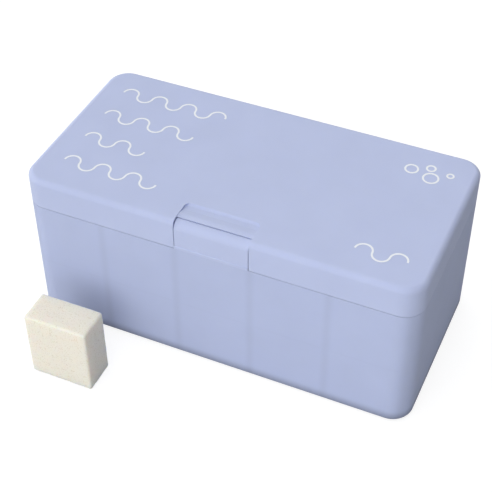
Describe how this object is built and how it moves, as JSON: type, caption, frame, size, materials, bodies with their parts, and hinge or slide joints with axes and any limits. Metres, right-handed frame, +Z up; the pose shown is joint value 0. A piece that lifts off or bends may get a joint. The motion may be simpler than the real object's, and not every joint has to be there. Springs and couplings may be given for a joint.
{
  "type": "hinged-lid sponge case",
  "caption": "Deep rounded storage case of frosted translucent plastic with a flip lid and front snap latch, packed with cut sponge blocks, one of them standing beside it.",
  "frame": {"origin": "middle of the case's underside", "axes": "+Z up, +X along the case, the front with the latch faces -Y"},
  "size_m": [0.2098, 0.153, 0.0919],
  "materials": {
    "case_plastic": "frosted translucent periwinkle polypropylene, satin",
    "lid_plastic": "frosted translucent periwinkle polypropylene, satin",
    "pin_steel": "plain drawn wire",
    "sponge_foam": "cream fine-cell foam, cut faces"
  },
  "bodies": {
    "case": {"base_box": "case_plastic", "hinge_pin_left": "pin_steel", "hinge_pin_right": "pin_steel", "sponge_lower_r1_c1": "sponge_foam", "sponge_lower_r1_c2": "sponge_foam", "sponge_lower_r1_c3": "sponge_foam", "sponge_lower_r1_c4": "sponge_foam", "sponge_lower_r1_c5": "sponge_foam", "sponge_lower_r2_c1": "sponge_foam", "sponge_lower_r2_c2": "sponge_foam", "sponge_lower_r2_c3": "sponge_foam", "sponge_lower_r2_c4": "sponge_foam", "sponge_lower_r2_c5": "sponge_foam", "sponge_lower_r3_c1": "sponge_foam", "sponge_lower_r3_c2": "sponge_foam", "sponge_lower_r3_c3": "sponge_foam", "sponge_lower_r3_c4": "sponge_foam", "sponge_lower_r3_c5": "sponge_foam", "sponge_lower_r4_c1": "sponge_foam", "sponge_lower_r4_c2": "sponge_foam", "sponge_lower_r4_c3": "sponge_foam", "sponge_lower_r4_c4": "sponge_foam", "sponge_lower_r4_c5": "sponge_foam", "sponge_lower_r5_c1": "sponge_foam", "sponge_lower_r5_c2": "sponge_foam", "sponge_lower_r5_c3": "sponge_foam", "sponge_lower_r5_c4": "sponge_foam", "sponge_lower_r5_c5": "sponge_foam", "sponge_upper_r1_c1": "sponge_foam", "sponge_upper_r1_c2": "sponge_foam", "sponge_upper_r1_c3": "sponge_foam", "sponge_upper_r1_c4": "sponge_foam", "sponge_upper_r1_c5": "sponge_foam", "sponge_upper_r2_c1": "sponge_foam", "sponge_upper_r2_c2": "sponge_foam", "sponge_upper_r2_c3": "sponge_foam", "sponge_upper_r2_c4": "sponge_foam", "sponge_upper_r2_c5": "sponge_foam", "sponge_upper_r3_c1": "sponge_foam", "sponge_upper_r3_c2": "sponge_foam", "sponge_upper_r3_c3": "sponge_foam", "sponge_upper_r3_c4": "sponge_foam", "sponge_upper_r3_c5": "sponge_foam", "sponge_upper_r4_c1": "sponge_foam", "sponge_upper_r4_c2": "sponge_foam", "sponge_upper_r4_c3": "sponge_foam", "sponge_upper_r4_c5": "sponge_foam", "sponge_upper_r5_c1": "sponge_foam", "sponge_upper_r5_c2": "sponge_foam", "sponge_upper_r5_c3": "sponge_foam", "sponge_upper_r5_c4": "sponge_foam", "sponge_upper_r5_c5": "sponge_foam"},
    "lid": {"lid": "lid_plastic", "latch_pin": "pin_steel"},
    "latch": {"latch_flap": "lid_plastic"},
    "loose_block": {"sponge_loose": "sponge_foam"}
  },
  "joints": [
    {"name": "lid_hinge", "type": "hinge", "parent": "case", "child": "lid", "pos_m": [0, 0.0555, 0.0745], "axis": [-1, 0, 0], "range_deg": [0, 110]},
    {"name": "latch_hinge", "type": "hinge", "parent": "lid", "child": "latch", "pos_m": [0, -0.0476, 0.0886], "axis": [-1, 0, 0], "range_deg": [0, 45]},
    {"name": "loose_block_lift", "type": "slide", "parent": "case", "child": "loose_block", "axis": [0, 0, 1], "range_m": [0, 0.08]}
  ]
}
